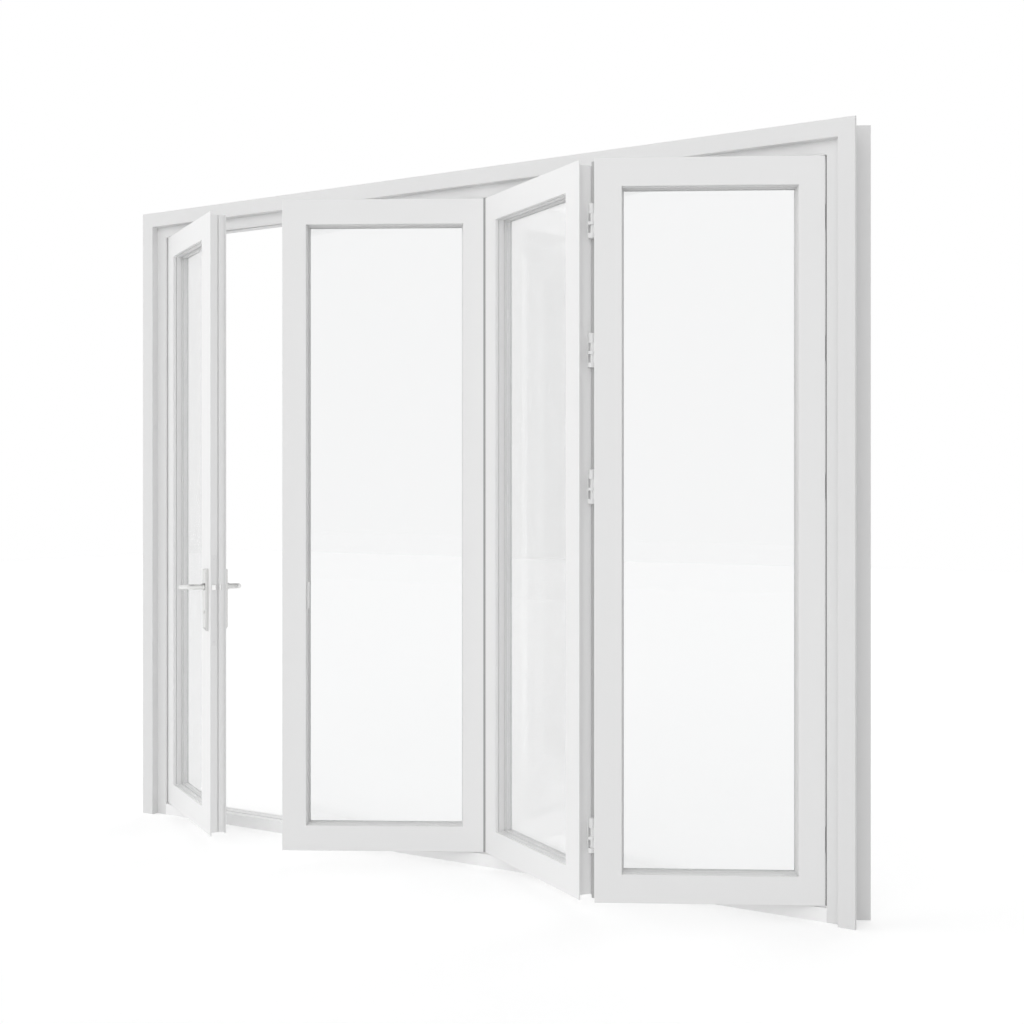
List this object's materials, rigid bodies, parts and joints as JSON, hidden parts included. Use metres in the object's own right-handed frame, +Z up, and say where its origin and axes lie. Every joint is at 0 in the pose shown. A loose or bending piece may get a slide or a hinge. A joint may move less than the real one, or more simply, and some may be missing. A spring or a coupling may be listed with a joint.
{
  "type": "bifold glass patio door",
  "caption": "White framed bifold patio door with a hinged traffic door, a stack of folding glazed leaves, head track, low sill and lever handles.",
  "frame": {"origin": "middle of the sill's flat underside", "axes": "+X along the sill to the stack's jamb, +Y into the house, +Z up"},
  "size_m": [3, 0.4806, 2.385],
  "materials": {
    "white_upvc": "satin white extruded profile",
    "white_sash": "satin white extruded profile",
    "white_bead": "satin white extruded bead",
    "white_trim": "satin white extruded trim",
    "white_fitting": "white powder coat",
    "clear_glass": "clear double glazing",
    "satin_chrome": "satin chrome",
    "lock_steel": "zinc plated steel",
    "track_aluminium": "mill aluminium"
  },
  "bodies": {
    "frame": {"left_jamb": "white_upvc", "right_jamb": "white_upvc", "head": "white_upvc", "sill": "white_upvc", "left_back_trim": "white_trim", "right_back_trim": "white_trim", "head_back_trim": "white_trim", "top_track": "white_fitting", "bottom_track": "track_aluminium", "finger_pull": "white_fitting", "panel_hinges": "white_fitting", "track_hinges": "white_fitting", "jamb_hinges": "white_fitting", "track_carriers": "lock_steel", "leaf_2_left_stile": "white_sash", "leaf_2_right_stile": "white_sash", "leaf_2_top_rail": "white_sash", "leaf_2_bottom_rail": "white_sash", "leaf_2_glass": "clear_glass", "leaf_2_bead": "white_bead", "leaf_3_left_stile": "white_sash", "leaf_3_right_stile": "white_sash", "leaf_3_top_rail": "white_sash", "leaf_3_bottom_rail": "white_sash", "leaf_3_glass": "clear_glass", "leaf_3_bead": "white_bead", "leaf_4_left_stile": "white_sash", "leaf_4_right_stile": "white_sash", "leaf_4_top_rail": "white_sash", "leaf_4_bottom_rail": "white_sash", "leaf_4_glass": "clear_glass", "leaf_4_bead": "white_bead"},
    "door": {"leaf_1_left_stile": "white_sash", "leaf_1_right_stile": "white_sash", "leaf_1_top_rail": "white_sash", "leaf_1_bottom_rail": "white_sash", "leaf_1_glass": "clear_glass", "leaf_1_bead": "white_bead", "outer_backplate": "satin_chrome", "inner_backplate": "satin_chrome", "lock_strip": "white_fitting", "latch_bolt": "lock_steel", "door_pivots": "lock_steel"},
    "lever_set": {"outer_lever": "satin_chrome", "inner_lever": "satin_chrome"}
  },
  "joints": [
    {"name": "door_swing", "type": "hinge", "parent": "frame", "child": "door", "pos_m": [-1.3926, -0.0375, 1.1674], "axis": [0, 0, -1], "range_deg": [-31, 59]},
    {"name": "lever_turn", "type": "hinge", "parent": "door", "child": "lever_set", "pos_m": [-0.83285, -0.33883, 0.939], "axis": [-0.515, -0.8572, 0], "range_deg": [0, 45], "stiffness_Nm_per_rad": 1.5, "springref_deg": -28.65}
  ]
}
